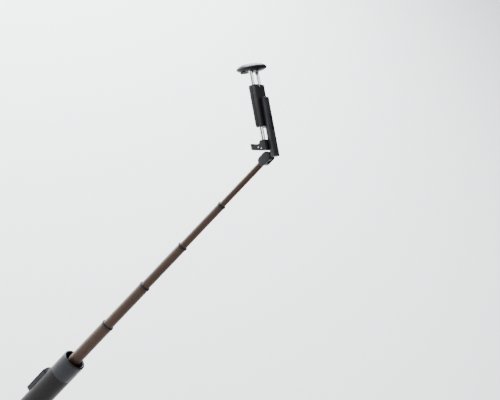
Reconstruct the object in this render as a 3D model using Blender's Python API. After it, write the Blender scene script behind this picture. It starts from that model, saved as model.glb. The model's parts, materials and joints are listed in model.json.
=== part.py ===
"""Telescopic selfie stick with a two-rod phone clamp, opened for use.

Row frame: origin at the centre of the handle's flat end, +Z up the pole, +X along the hinge pin,
the head leaning towards +Y. All driving dimensions are in millimetres; MM turns them into metres.
Head parts are modelled upright in the head frame: x along the hinge pin, y towards the phone,
z up the arm, with the hinge pin's axis at the origin. The head frame then leans by HEAD_LEAN.
"""
import bmesh
import bpy
from math import cos, pi, radians, sin
from mathutils import Matrix, Vector

MM = 0.001

# ---------------------------------------------------------------- driving dimensions, millimetres
HANDLE_LENGTH = 119.0
HANDLE_RADIUS = 13.0
MOUTH_RADIUS = 10.7
END_CAP_DISC = 3.0
END_CAP_SPIGOT = 4.0
SLEEVE_TOP_BELOW_RIM = 21.5
SLEEVE_RADIUS = 10.4
GLAND_HEIGHT = 4.0

TUBE_RADII = (6.6, 5.75, 4.9, 4.05, 3.2)
TUBE_WALL = 0.45
FIRST_COLLAR_ABOVE_RIM = 60.0
COLLAR_PITCH = 65.0
COLLAR_HEIGHT = 1.8
COLLAR_PROUD = 0.4
COLLAR_CLEARANCE = 0.12
FLARE_PROUD = 0.25
FLARE_HEIGHT = 2.5
GUIDE_HEIGHT = 12.0
GUIDE_WALL = 0.16
GUIDE_SPLIT_DEGREES = 24.0

HINGE_ABOVE_LAST_COLLAR = 74.8
HEAD_LEAN = 62.0
CONNECTOR_HALF_X = 4.7
CONNECTOR_HALF_Y = 5.0
CONNECTOR_DROP = 6.5
SLOT_HALF = 2.4
SLOT_DEPTH = 5.4
TUBE_SOCKET_TOP = 6.5
PIN_RADIUS = 1.3
PIN_HEAD_RADIUS = 2.4
WASHER_THICKNESS = 0.4
RUN_GAP = 0.1
SEAT_GAP = 0.3

ARM_BACK = -11.0
ARM_COVER_FRONT = -5.9
ARM_COVER_ROUNDING = 0.8
ARM_FRONT = -5.5
ARM_BOTTOM = -2.1
ARM_TOP = 59.0
ARM_HALF_TOP = 4.0
ARM_HALF_BOTTOM = 4.5
SPINE_HALF = 2.6
SPINE_BACK = -8.0
TONGUE_HALF = 1.6
TONGUE_RADIUS = 4.6
ARM_SLOT = (24.3, 41.7)
ARM_SLOT_HALF = 1.3
ARM_SLOT_DEPTH = 1.0

SWIVEL_HEIGHT = 51.5
STUB_RADIUS = 3.6
HOUSING_HALF = 8.5
HOUSING_BACK = -5.1
HOUSING_FRONT = 2.4
HOUSING_SPLIT = -1.0
HOUSING_BOTTOM = 30.0
HOUSING_TOP = 73.1
HOUSING_WALL = 0.7
HOUSING_FOOT = 5.0
HOUSING_HEAD = 3.0
HOUSING_CHAMFER = 0.35
HOUSING_SCREW_HEIGHTS = (32.5, 71.6)
PHONE_PLANE = 2.95
PAD_CORNER = 1.5

ROD_X = 5.3
ROD_Y = -1.0
UPPER_ROD_RADIUS = 2.1
LOWER_ROD_RADIUS = 2.4
YOKE_BOTTOM = 55.8
YOKE_HEIGHT = 3.0
SPRING_RADIUS = 1.6
SPRING_WIRE = 0.2
SPRING_TURNS = 12

PHONE_WIDTH = 74.6
LOWER_CONTACT = 13.75
UPPER_CONTACT = LOWER_CONTACT + PHONE_WIDTH
PAD_THICKNESS = 0.95
JAW_HALF = 9.0
JAW_FRONT = 14.8
CAP_CENTRE_Y = 0.9
CAP_HALF_LENGTH = 17.3
CAP_HALF_WIDTH = 11.0
CAP_RIM_BACK = 89.0
CAP_RIM_TIP = 92.6
CAP_RISE = 5.6
CAP_DROP = 4.2
CAP_PAD_HALF_LENGTH = 13.2
CAP_PAD_HALF_WIDTH = 7.6

POD_TOP_BELOW_RIM = 34.0
POD_HALF_WIDTH = 6.2
POD_LENGTH = 38.0
POD_SEAT = 11.4
POD_FRONT = 17.0
BUTTON_RADIUS = 4.0

ROUND = 36
SMALL_ROUND = 16

# ---------------------------------------------------------------- derived places, millimetres
RIM = HANDLE_LENGTH
COLLAR_TOPS = [RIM + FIRST_COLLAR_ABOVE_RIM + i * COLLAR_PITCH for i in range(4)]
HINGE_Z = COLLAR_TOPS[3] + HINGE_ABOVE_LAST_COLLAR


# ---------------------------------------------------------------- scene helpers
def clear_scene():
    for item in list(bpy.data.objects):
        bpy.data.objects.remove(item, do_unlink=True)


def material(name, colour, roughness, metallic=0.0):
    made = bpy.data.materials.get(name)
    if made:
        return made
    made = bpy.data.materials.new(name)
    made.use_nodes = True
    shader = made.node_tree.nodes["Principled BSDF"]
    shader.inputs["Base Color"].default_value = (*colour, 1.0)
    shader.inputs["Roughness"].default_value = roughness
    shader.inputs["Metallic"].default_value = metallic
    made.diffuse_color = (*colour, 1.0)
    return made


BRONZE = ("bronze_anodised", (0.075, 0.055, 0.047), 0.3, 0.9)
SATIN = ("satin_black", (0.018, 0.018, 0.021), 0.42, 0.0)
MATTE = ("matte_black", (0.028, 0.024, 0.026), 0.6, 0.0)
GLOSS = ("gloss_black", (0.015, 0.015, 0.02), 0.22, 0.0)
RUBBER = ("soft_rubber", (0.02, 0.02, 0.02), 0.8, 0.0)
CHROME = ("chrome", (0.75, 0.75, 0.76), 0.12, 1.0)
STEEL = ("plain_steel", (0.5, 0.5, 0.5), 0.35, 1.0)
BRASS = ("brass", (0.6, 0.45, 0.2), 0.35, 1.0)
BOARD = ("green_board", (0.02, 0.12, 0.05), 0.5, 0.0)


def add_object(name, mesh, finish=None, parent=None, smooth=True):
    item = bpy.data.objects.new(name, mesh)
    bpy.context.collection.objects.link(item)
    if finish:
        mesh.materials.append(material(*finish))
    if smooth:
        mesh.shade_smooth()
        mesh.set_sharp_from_angle(angle=radians(35))
    item.parent = parent
    return item


def add_empty(name, location, rotation=(0.0, 0.0, 0.0), parent=None):
    item = bpy.data.objects.new(name, None)
    bpy.context.collection.objects.link(item)
    item.empty_display_size = 0.01
    item.location = Vector(location) * MM
    item.rotation_euler = rotation
    item.parent = parent
    return item


def mesh_from(name, points, faces):
    mesh = bpy.data.meshes.new(name)
    mesh.from_pydata([Vector(p) * MM for p in points], [], faces)
    build = bmesh.new()
    build.from_mesh(mesh)
    bmesh.ops.recalc_face_normals(build, faces=build.faces)
    build.to_mesh(mesh)
    build.free()
    return mesh


def as_cutter(item):
    item.hide_render = True
    item.display_type = "WIRE"
    return item


def boolean(target, tool, operation="DIFFERENCE"):
    step = target.modifiers.new(operation.lower(), "BOOLEAN")
    step.operation = operation
    step.solver = "EXACT"
    step.object = as_cutter(tool)


def bevel(item, width, segments=2, angle=40.0):
    step = item.modifiers.new("bevel", "BEVEL")
    step.width = width * MM
    step.segments = segments
    step.limit_method = "ANGLE"
    step.angle_limit = radians(angle)


# ---------------------------------------------------------------- shape makers, millimetres
# How an outline's (first, second, height) lie in the part: "Y" keeps the outline in the x-z plane.
AXES = {
    "X": Matrix(((0, 0, 1), (1, 0, 0), (0, 1, 0))),
    "Y": Matrix(((1, 0, 0), (0, 0, 1), (0, 1, 0))),
    "Z": Matrix.Identity(3),
}


def loft(name, rings, hollow=False):
    """Joins rings of equal point counts; a hollow loft closes its last ring onto its first."""
    count = len(rings[0])
    points = [p for ring in rings for p in ring]
    faces = []
    last = len(rings) if hollow else len(rings) - 1
    for i in range(last):
        a = i * count
        b = ((i + 1) % len(rings)) * count
        for j in range(count):
            k = (j + 1) % count
            faces.append((a + j, a + k, b + k, b + j))
    if not hollow:
        faces.append(tuple(range(count))[::-1])
        faces.append(tuple(range((len(rings) - 1) * count, len(rings) * count)))
    return mesh_from(name, points, faces)


def turned(name, profile, finish=None, axis="Z", at=(0, 0, 0), hollow=False, parts=ROUND, parent=None):
    """Turns (radius, height) pairs about an axis through at; a hollow profile is a closed loop."""
    turn = AXES[axis]
    rings = []
    for radius, height in profile:
        angles = [2 * pi * j / parts for j in range(parts)]
        ring = [turn @ Vector((radius * cos(a), radius * sin(a), height)) + Vector(at) for a in angles]
        rings.append(ring)
    return add_object(name, loft(name, rings, hollow), finish, parent)


def ring_profile(inner, outer, low, high):
    return [(outer, low), (outer, high), (inner, high), (inner, low)]


def rod_profile(radius, low, high):
    return [(radius, low), (radius, high)]


def extruded(name, outline, low, high, finish=None, axis="Z", parent=None, at=(0, 0, 0), smooth=True):
    """Extrudes an outline of (first, second) pairs along an axis from low to high."""
    turn = AXES[axis]
    rings = [[turn @ Vector((p, q, h)) + Vector(at) for p, q in outline] for h in (low, high)]
    return add_object(name, loft(name, rings), finish, parent, smooth)


def stacked(name, levels, finish=None, axis="Z", parent=None, at=(0, 0, 0)):
    """Lofts through (outline, height) pairs whose outlines have equal point counts."""
    turn = AXES[axis]
    rings = [[turn @ Vector((p, q, h)) + Vector(at) for p, q in outline] for outline, h in levels]
    return add_object(name, loft(name, rings), finish, parent)


def block(name, low, high, finish=None, parent=None):
    (x0, y0, z0), (x1, y1, z1) = low, high
    return extruded(name, [(x0, y0), (x1, y0), (x1, y1), (x0, y1)], z0, z1, finish, "Z", parent)


def arc(centre, radius, start, end, parts):
    return [
        (
            centre[0] + radius * cos(radians(start + (end - start) * i / parts)),
            centre[1] + radius * sin(radians(start + (end - start) * i / parts)),
        )
        for i in range(parts + 1)
    ]


def ellipse(centre, half_a, half_b, parts=ROUND):
    turns = [2 * pi * i / parts for i in range(parts)]
    return [(centre[0] + half_a * cos(t), centre[1] + half_b * sin(t)) for t in turns]


def stadium(half_width, half_length, inset=0.0, parts=12):
    """A slot outline, long along its second coordinate."""
    radius = half_width - inset
    straight = half_length - half_width
    return arc((0, straight), radius, 0, 180, parts) + arc((0, -straight), radius, 180, 360, parts)


# ---------------------------------------------------------------- handle
def make_handle():
    edge = 1.0
    outer = [(HANDLE_RADIUS, END_CAP_DISC + SEAT_GAP), (HANDLE_RADIUS, RIM - edge)]
    lip = [(HANDLE_RADIUS - 0.35, RIM - 0.3), (HANDLE_RADIUS - 1.1, RIM), (MOUTH_RADIUS + 0.4, RIM - 0.2)]
    inner = [(MOUTH_RADIUS, RIM - edge), (MOUTH_RADIUS, END_CAP_DISC + SEAT_GAP)]
    shell = turned("handle_shell", outer + lip + inner, SATIN, hollow=True)
    pod_middle = RIM - POD_TOP_BELOW_RIM - POD_LENGTH / 2
    seat = stadium(POD_HALF_WIDTH + SEAT_GAP, POD_LENGTH / 2 + SEAT_GAP)
    seat_cut = extruded("cut_pod_seat", seat, POD_SEAT, POD_SEAT + 5, None, "Y", at=(0, 0, pod_middle))
    boolean(shell, seat_cut)

    sleeve_low = END_CAP_DISC + END_CAP_SPIGOT + SEAT_GAP
    sleeve_high = RIM - SLEEVE_TOP_BELOW_RIM
    bore = TUBE_RADII[0] + 0.4
    turned("handle_sleeve", ring_profile(bore, SLEEVE_RADIUS, sleeve_low, sleeve_high), MATTE, hollow=True)

    gland_low = sleeve_high + SEAT_GAP
    gland_high = gland_low + GLAND_HEIGHT
    bore = TUBE_RADII[0] + COLLAR_CLEARANCE
    gland = [
        (SLEEVE_RADIUS, gland_low), (SLEEVE_RADIUS, gland_high - 0.8), (SLEEVE_RADIUS - 0.8, gland_high),
        (bore + 0.6, gland_high), (bore, gland_high - 0.6), (bore, gland_low),
    ]
    turned("handle_gland", gland, MATTE, hollow=True)

    cap = [
        (HANDLE_RADIUS - 1.2, 0), (HANDLE_RADIUS - 0.35, 0.35), (HANDLE_RADIUS, 1.2),
        (HANDLE_RADIUS, END_CAP_DISC), (SLEEVE_RADIUS, END_CAP_DISC),
        (SLEEVE_RADIUS, END_CAP_DISC + END_CAP_SPIGOT),
    ]
    turned("handle_end_cap", cap, SATIN)


# ---------------------------------------------------------------- shutter remote on the handle
def make_remote():
    middle = RIM - POD_TOP_BELOW_RIM - POD_LENGTH / 2
    place = (0, 0, middle)
    half = POD_LENGTH / 2
    wall = 1.0
    base_low = POD_SEAT + SEAT_GAP
    base_high = 14.4

    outline = stadium(POD_HALF_WIDTH, half)
    base = extruded("remote_base", outline, base_low, base_high, SATIN, "Y", at=place)
    hollow = stadium(POD_HALF_WIDTH, half, wall)
    boolean(base, extruded("cut_base", hollow, base_low + 0.8, base_high + 1, None, "Y", at=place))

    cover_low = base_high + SEAT_GAP
    levels = [
        (outline, cover_low), (outline, POD_FRONT - 1.0),
        (stadium(POD_HALF_WIDTH, half, 0.3), POD_FRONT - 0.3),
        (stadium(POD_HALF_WIDTH, half, 1.0), POD_FRONT),
    ]
    cover = stacked("remote_cover", levels, SATIN, "Y", at=place)
    boolean(cover, extruded("cut_cover", hollow, cover_low - 1, POD_FRONT - 0.9, None, "Y", at=place))
    button_z = middle + half - POD_HALF_WIDTH - 2.5
    button_at = (0, 0, button_z)
    hole = rod_profile(BUTTON_RADIUS + SEAT_GAP, POD_FRONT - 2, POD_FRONT + 1)
    boolean(cover, turned("cut_button_hole", hole, None, "Y", button_at, parts=SMALL_ROUND))

    flange = POD_FRONT - 1.6
    top = POD_FRONT + 0.9
    button = [
        (BUTTON_RADIUS + 0.8, flange), (BUTTON_RADIUS + 0.8, flange + 0.4), (BUTTON_RADIUS, flange + 0.4),
        (BUTTON_RADIUS, top - 0.4), (BUTTON_RADIUS - 0.4, top), (BUTTON_RADIUS - 1.8, top - 0.15),
    ]
    turned("shutter_button", button, GLOSS, "Y", button_at, parts=SMALL_ROUND)

    board = stadium(POD_HALF_WIDTH, half, wall + SEAT_GAP)
    extruded("remote_board", board, 13.0, 13.8, BOARD, "Y", at=place)
    switch = [(-1.8, -1.8), (1.8, -1.8), (1.8, 1.8), (-1.8, 1.8)]
    extruded("remote_switch", switch, 13.9, flange - 0.55, STEEL, "Y", at=button_at)
    cell_at = (0, 0, middle - half + POD_HALF_WIDTH + 4.0)
    cell = [(4.6, 14.0), (4.6, 15.3), (4.2, 15.7)]
    turned("remote_cell", cell, STEEL, "Y", cell_at, parts=SMALL_ROUND)


# ---------------------------------------------------------------- telescopic pole
def tube_top(index):
    """Height of a tube's end: under its collar, or in the connector for the last one."""
    if index < 4:
        return COLLAR_TOPS[index] - COLLAR_HEIGHT - 0.2
    return HINGE_Z - TUBE_SOCKET_TOP - 0.2


def make_pole():
    for index, radius in enumerate(TUBE_RADII):
        number = index + 1
        holder_bottom = COLLAR_TOPS[index - 1] - COLLAR_HEIGHT if index else RIM - SLEEVE_TOP_BELOW_RIM + SEAT_GAP
        guide_top = holder_bottom - SEAT_GAP
        flare_top = guide_top - GUIDE_HEIGHT - 0.2
        tube_bottom = flare_top - FLARE_HEIGHT
        flared = radius + FLARE_PROUD
        inner = radius - TUBE_WALL
        tube = [
            (flared, tube_bottom), (flared, flare_top), (radius, flare_top), (radius, tube_top(index)),
            (inner, tube_top(index)), (inner, tube_bottom),
        ]
        turned(f"tube_{number}", tube, BRONZE, hollow=True)
        make_guide(number, radius + RUN_GAP, guide_top)

        if index < 4:
            top = COLLAR_TOPS[index]
            outer = radius + COLLAR_PROUD
            bore = TUBE_RADII[index + 1] + COLLAR_CLEARANCE
            collar = [
                (outer, top - COLLAR_HEIGHT), (outer, top - 0.5), (outer - 0.5, top), (bore, top),
                (bore, top - COLLAR_HEIGHT),
            ]
            turned(f"tube_{number}_collar", collar, SATIN, hollow=True)


def make_guide(number, inner, top):
    """The split friction sleeve that rides on a tube's lower end, inside the next larger tube."""
    start = GUIDE_SPLIT_DEGREES / 2
    parts = ROUND - 2
    outline = arc((0, 0), inner + GUIDE_WALL, start, 360 - start, parts)
    outline += arc((0, 0), inner, 360 - start, start, parts)
    extruded(f"tube_{number}_guide", outline, top - GUIDE_HEIGHT, top, BRASS)


# ---------------------------------------------------------------- connector and tilt hinge
def make_connector():
    hinge = (0, 0, HINGE_Z)
    upper = arc((0, 0), CONNECTOR_HALF_Y, 0, 180, 12)
    lower = arc((0, -CONNECTOR_DROP), CONNECTOR_HALF_Y, 180, 360, 12)
    outline = upper + lower
    edge = 0.8
    inset = [(y * (1 - edge / CONNECTOR_HALF_Y), z + (edge if z < -CONNECTOR_DROP else 0) * 0.9
              - (edge if z > 0 else 0) * z / CONNECTOR_HALF_Y) for y, z in outline]
    levels = [
        (inset, -CONNECTOR_HALF_X), (outline, -CONNECTOR_HALF_X + edge),
        (outline, CONNECTOR_HALF_X - edge), (inset, CONNECTOR_HALF_X),
    ]
    connector = stacked("head_connector", levels, SATIN, "X", at=hinge)
    slot_floor = HINGE_Z - SLOT_DEPTH
    slot = block("cut_slot", (-SLOT_HALF, -9, slot_floor), (SLOT_HALF, 9, HINGE_Z + 9))
    boolean(connector, slot)
    socket = rod_profile(TUBE_RADII[4] + 0.2, HINGE_Z - 20, HINGE_Z - TUBE_SOCKET_TOP)
    boolean(connector, turned("cut_tube_socket", socket))
    pin_hole = rod_profile(PIN_RADIUS + RUN_GAP, -CONNECTOR_HALF_X + 0.9, CONNECTOR_HALF_X + 1)
    boolean(connector, turned("cut_pin_hole", pin_hole, None, "X", hinge, parts=SMALL_ROUND))
    head_seat = rod_profile(PIN_HEAD_RADIUS + 0.2, CONNECTOR_HALF_X - 1.3, CONNECTOR_HALF_X + 1)
    boolean(connector, turned("cut_pin_head", head_seat, None, "X", hinge, parts=SMALL_ROUND))

    pin = [
        (PIN_RADIUS, -CONNECTOR_HALF_X + 1.1), (PIN_RADIUS, CONNECTOR_HALF_X - 1.1),
        (PIN_HEAD_RADIUS, CONNECTOR_HALF_X - 1.1), (PIN_HEAD_RADIUS, CONNECTOR_HALF_X - 0.2),
    ]
    turned("hinge_pin", pin, STEEL, "X", hinge, parts=SMALL_ROUND)
    middle = (SLOT_HALF + TONGUE_HALF) / 2
    for side, name in ((-1, "left"), (1, "right")):
        low = side * middle - WASHER_THICKNESS / 2
        washer = ring_profile(PIN_RADIUS + RUN_GAP, 3.6, low, low + WASHER_THICKNESS)
        turned(f"hinge_washer_{name}", washer, BRASS, "X", hinge, True, SMALL_ROUND)


# ---------------------------------------------------------------- arm
def make_arm(head):
    levels = []
    for z, half in ((ARM_BOTTOM, ARM_HALF_BOTTOM), (ARM_TOP, ARM_HALF_TOP)):
        blank = ARM_COVER_FRONT + ARM_COVER_ROUNDING
        corners = [(-half, ARM_BACK), (half, ARM_BACK), (half, blank), (-half, blank)]
        levels.append((corners, z))
    cover = stacked("arm_cover", levels, SATIN, parent=head)
    bevel(cover, ARM_COVER_ROUNDING, 3)
    face = block("cut_arm_face", (-9, ARM_COVER_FRONT, ARM_BOTTOM - 1), (9, 0, ARM_TOP + 1), None, head)
    boolean(cover, face)
    channel_half = SPINE_HALF + SEAT_GAP
    channel = block(
        "cut_arm_channel", (-channel_half, SPINE_BACK - SEAT_GAP, ARM_BOTTOM + 0.5),
        (channel_half, ARM_COVER_FRONT + 2, ARM_TOP - 0.9), None, head,
    )
    boolean(cover, channel)
    low, high = ARM_SLOT
    recess = [
        (x, z + (low + high) / 2) for x, z in stadium(ARM_SLOT_HALF, (high - low) / 2, 0.0, 6)
    ]
    boolean(cover, extruded("cut_arm_slot", recess, ARM_BACK - 2, ARM_BACK + ARM_SLOT_DEPTH, None, "Y", head))

    spine = block(
        "arm_spine", (-SPINE_HALF, SPINE_BACK, ARM_BOTTOM + 0.8), (SPINE_HALF, ARM_FRONT, ARM_TOP - 1.2),
        SATIN, head,
    )
    root = ARM_FRONT - 0.6
    tongue = [(root, ARM_BOTTOM + 1.0)] + arc((0, 0), TONGUE_RADIUS, -160, 100, 18) + [(root, 3.8)]
    boolean(spine, extruded("union_tongue", tongue, -TONGUE_HALF, TONGUE_HALF, None, "X", head), "UNION")
    pivot = (0, 0, SWIVEL_HEIGHT)
    stub = rod_profile(STUB_RADIUS, ARM_COVER_FRONT + SEAT_GAP, HOUSING_BACK + 0.75)
    boolean(spine, turned("union_stub", stub, None, "Y", pivot, parts=SMALL_ROUND, parent=head), "UNION")
    thread = rod_profile(1.2, ARM_FRONT - 0.9, HOUSING_BACK + 2)
    boolean(spine, turned("cut_stub_thread", thread, None, "Y", pivot, parts=SMALL_ROUND, parent=head))
    hole = rod_profile(PIN_RADIUS + RUN_GAP, -3, 3)
    boolean(spine, turned("cut_tongue_hole", hole, None, "X", parts=SMALL_ROUND, parent=head))

    washer_low = HOUSING_BACK + 0.95
    washer = ring_profile(1.2, 4.9, washer_low, washer_low + 0.5)
    turned("swivel_washer", washer, BRASS, "Y", pivot, True, SMALL_ROUND, head)
    screw = [
        (1.1, ARM_FRONT - 0.8), (1.1, washer_low + 0.6), (2.6, washer_low + 0.6),
        (2.6, washer_low + 1.3), (2.2, washer_low + 1.5),
    ]
    turned("swivel_screw", screw, STEEL, "Y", pivot, parts=SMALL_ROUND, parent=head)


# ---------------------------------------------------------------- clamp housing
def housing_half(name, edge_y, split_y, head):
    """One shell of the housing, from its outer face to the split, with chamfered outer corners."""
    out = 1 if edge_y > split_y else -1
    corner_y = edge_y - out * HOUSING_CHAMFER
    side = HOUSING_HALF
    outline = [
        (-side, split_y), (-side, corner_y), (-side + HOUSING_CHAMFER, edge_y),
        (side - HOUSING_CHAMFER, edge_y), (side, corner_y), (side, split_y),
    ]
    half = extruded(name, outline, HOUSING_BOTTOM, HOUSING_TOP, MATTE, "Z", head)
    inner = HOUSING_HALF - HOUSING_WALL
    inner_y = edge_y - out * HOUSING_WALL
    low_y, high_y = sorted((inner_y, split_y + out * -2))
    cavity = block(
        f"cut_{name}", (-inner, low_y, HOUSING_BOTTOM + HOUSING_FOOT),
        (inner, high_y, HOUSING_TOP - HOUSING_HEAD), None, head,
    )
    boolean(half, cavity)
    for x in (-ROD_X, ROD_X):
        side_name = "left" if x < 0 else "right"
        top = rod_profile(UPPER_ROD_RADIUS + 0.15, HOUSING_TOP - HOUSING_HEAD - 1, HOUSING_TOP + 1)
        foot = rod_profile(LOWER_ROD_RADIUS + RUN_GAP, HOUSING_BOTTOM - 1, HOUSING_BOTTOM + HOUSING_FOOT + 1)
        at = (x, ROD_Y, 0)
        boolean(half, turned(f"cut_{name}_top_{side_name}", top, None, "Z", at, parts=SMALL_ROUND, parent=head))
        boolean(half, turned(f"cut_{name}_foot_{side_name}", foot, None, "Z", at, parts=SMALL_ROUND, parent=head))
    return half


def make_housing(head):
    back = housing_half("clamp_housing_back", HOUSING_BACK, HOUSING_SPLIT - 0.15, head)
    front = housing_half("clamp_housing_front", HOUSING_FRONT, HOUSING_SPLIT + 0.15, head)
    pivot = (0, 0, SWIVEL_HEIGHT)
    opening = rod_profile(STUB_RADIUS + 0.2, HOUSING_BACK - 1, HOUSING_BACK + 2)
    boolean(back, turned("cut_swivel", opening, None, "Y", pivot, parts=SMALL_ROUND, parent=head))
    for number, z in enumerate(HOUSING_SCREW_HEIGHTS, 1):
        at = (0, 0, z)
        shank = rod_profile(0.9, HOUSING_BACK - 1, HOUSING_FRONT - 0.8)
        sink = rod_profile(1.4, HOUSING_BACK - 1, HOUSING_BACK + 1.0)
        for half, tag in ((back, "back"), (front, "front")):
            cut = turned(f"cut_screw_{number}_{tag}", shank, None, "Y", at, parts=SMALL_ROUND, parent=head)
            boolean(half, cut)
        boolean(back, turned(f"cut_sink_{number}", sink, None, "Y", at, parts=SMALL_ROUND, parent=head))
        screw = [
            (1.25, HOUSING_BACK + 0.1), (1.25, HOUSING_BACK + 0.85), (0.75, HOUSING_BACK + 0.85),
            (0.75, HOUSING_FRONT - 1.0),
        ]
        turned(f"housing_screw_{number}", screw, STEEL, "Y", at, parts=SMALL_ROUND, parent=head)
    low, high = HOUSING_BOTTOM + 0.5, HOUSING_TOP - 0.5
    inset = HOUSING_HALF - 0.3 - PAD_CORNER
    pad = arc((inset, high - PAD_CORNER), PAD_CORNER, 0, 90, 4)
    pad += arc((-inset, high - PAD_CORNER), PAD_CORNER, 90, 180, 4)
    pad += arc((-inset, low + PAD_CORNER), PAD_CORNER, 180, 270, 4)
    pad += arc((inset, low + PAD_CORNER), PAD_CORNER, 270, 360, 4)
    extruded("back_pad", pad, HOUSING_FRONT + 0.1, PHONE_PLANE, RUBBER, "Y", head)


# ---------------------------------------------------------------- jaws, rods and spring
def make_lower_jaw(head):
    floor = LOWER_CONTACT - PAD_THICKNESS - 0.2
    lip = JAW_FRONT - 3.1
    outline = [(HOUSING_BACK, 5.4), (12.2, 8.9)]
    outline += arc((12.3, 11.4), 2.5, -60, 0, 4)
    outline += arc((JAW_FRONT - 0.8, 14.8), 0.8, 0, 90, 3)
    outline += [(lip + 0.6, 15.6), (lip, 15.0), (lip, floor), (PHONE_PLANE + 0.35, floor)]
    outline += [(PHONE_PLANE - 0.35, floor + 0.7), (2.0, 15.2), (0.9, 16.4)]
    outline += [(-4.2, 16.4), (HOUSING_BACK, 15.5)]
    jaw = extruded("lower_jaw", outline, -JAW_HALF, JAW_HALF, MATTE, "X", head)
    corner = 4.5
    plan = [(-JAW_HALF, HOUSING_BACK - 1), (JAW_HALF, HOUSING_BACK - 1)]
    plan += arc((JAW_HALF - corner, JAW_FRONT - corner + 0.02), corner, 0, 90, 8)
    plan += arc((-JAW_HALF + corner, JAW_FRONT - corner + 0.02), corner, 90, 180, 8)
    boolean(jaw, extruded("trim_lower_jaw", plan, 0, 25, None, "Z", head), "INTERSECT")
    for x, name in ((-ROD_X, "left"), (ROD_X, "right")):
        at = (x, ROD_Y, 0)
        hole = rod_profile(LOWER_ROD_RADIUS + RUN_GAP, 8.6, 25)
        boolean(jaw, turned(f"cut_jaw_rod_{name}", hole, None, "Z", at, parts=SMALL_ROUND, parent=head))
        rod = rod_profile(LOWER_ROD_RADIUS, 8.9, HOUSING_BOTTOM + HOUSING_FOOT - 0.6)
        turned(f"lower_rod_{name}", rod, CHROME, "Z", at, parts=SMALL_ROUND, parent=head)
        side = -1 if x < 0 else 1
        for number, (y, z) in enumerate(((3.9, 10.0), (0.4, 8.3)), 1):
            seat = rod_profile(0.85, *sorted((side * (JAW_HALF - 0.7), side * (JAW_HALF + 1))))
            cut = turned(f"cut_jaw_pin_{name}_{number}", seat, None, "X", (0, y, z), parts=12, parent=head)
            boolean(jaw, cut)
            pin = rod_profile(0.7, *sorted((side * (JAW_HALF - 0.55), side * (JAW_HALF + 0.05))))
            turned(f"jaw_pin_{name}_{number}", pin, STEEL, "X", (0, y, z), parts=12, parent=head)

    pad = [(-7.6, PHONE_PLANE + 0.5), (7.6, PHONE_PLANE + 0.5), (7.6, lip - 0.3), (-7.6, lip - 0.3)]
    extruded("lower_jaw_pad", pad, LOWER_CONTACT - PAD_THICKNESS, LOWER_CONTACT, RUBBER, "Z", head)


def cap_ring(turn):
    """One ring of the tilted lens: turn runs from -90 at its lowest point to 90 at its highest."""
    scale = cos(radians(turn))
    lift = sin(radians(turn)) * (CAP_RISE if turn > 0 else CAP_DROP)
    slope = (CAP_RIM_TIP - CAP_RIM_BACK) / (2 * CAP_HALF_LENGTH)
    back = CAP_CENTRE_Y - CAP_HALF_LENGTH
    outline = ellipse((0, CAP_CENTRE_Y), CAP_HALF_WIDTH * scale, CAP_HALF_LENGTH * scale)
    return [(x, y, CAP_RIM_BACK + (y - back) * slope + lift) for x, y in outline]


def make_upper_jaw(head):
    core_bottom = UPPER_CONTACT + PAD_THICKNESS + 0.2
    rings = [cap_ring(turn) for turn in (-82, -60, -40, -20, 0, 18, 36, 54, 70, 83)]
    jaw = add_object("upper_jaw", loft("upper_jaw", rings), GLOSS, head)
    ledge = block("cut_jaw_ledge", (-20, PHONE_PLANE + 0.05, 70), (20, 30, core_bottom), None, head)
    boolean(jaw, ledge)
    for x, name in ((-ROD_X, "left"), (ROD_X, "right")):
        at = (x, ROD_Y, 0)
        hole = rod_profile(UPPER_ROD_RADIUS + 0.15, UPPER_CONTACT - CAP_DROP, core_bottom + 1.5)
        boolean(jaw, turned(f"cut_cap_rod_{name}", hole, None, "Z", at, parts=SMALL_ROUND, parent=head))
        rod = rod_profile(UPPER_ROD_RADIUS, YOKE_BOTTOM + 0.9, core_bottom + 1.2)
        turned(f"upper_rod_{name}", rod, CHROME, "Z", at, parts=SMALL_ROUND, parent=head)

    front = PHONE_PLANE + 0.3
    oval = ellipse((0, CAP_CENTRE_Y), CAP_PAD_HALF_WIDTH, CAP_PAD_HALF_LENGTH, 64)
    pad = [p for p in oval if p[1] > front]
    extruded("upper_jaw_pad", pad, UPPER_CONTACT, UPPER_CONTACT + PAD_THICKNESS, RUBBER, "Z", head)

    inner = HOUSING_HALF - HOUSING_WALL - 0.15
    yoke = block("rod_yoke", (-inner, -3.35, YOKE_BOTTOM), (inner, 1.4, YOKE_BOTTOM + YOKE_HEIGHT), STEEL, head)
    notch = ((-2.85, -9, YOKE_BOTTOM - 1), (2.85, -2.25, YOKE_BOTTOM + YOKE_HEIGHT + 1))
    boolean(yoke, block("cut_yoke_notch", *notch, None, head))
    for x, name in ((-ROD_X, "left"), (ROD_X, "right")):
        hole = rod_profile(UPPER_ROD_RADIUS + RUN_GAP, YOKE_BOTTOM + 0.6, YOKE_BOTTOM + YOKE_HEIGHT + 1)
        cut = turned(f"cut_yoke_{name}", hole, None, "Z", (x, ROD_Y, 0), parts=SMALL_ROUND, parent=head)
        boolean(yoke, cut)


def make_spring(head):
    """A tension spring between the housing's foot and the yoke, as one closed helical tube."""
    low = HOUSING_BOTTOM + HOUSING_FOOT + 0.4
    high = YOKE_BOTTOM - 0.4
    steps = 8
    sides = 4
    rings = []
    total = SPRING_TURNS * steps
    for i in range(total + 1):
        turn = 2 * pi * i / steps
        z = low + SPRING_WIRE + (high - low - 2 * SPRING_WIRE) * i / total
        ring = []
        for j in range(sides):
            a = 2 * pi * j / sides
            r = SPRING_RADIUS + SPRING_WIRE * cos(a)
            ring.append((r * cos(turn), r * sin(turn) - 0.25, z + SPRING_WIRE * sin(a)))
        rings.append(ring)
    add_object("clamp_spring", loft("clamp_spring", rings), STEEL, head)


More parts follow.
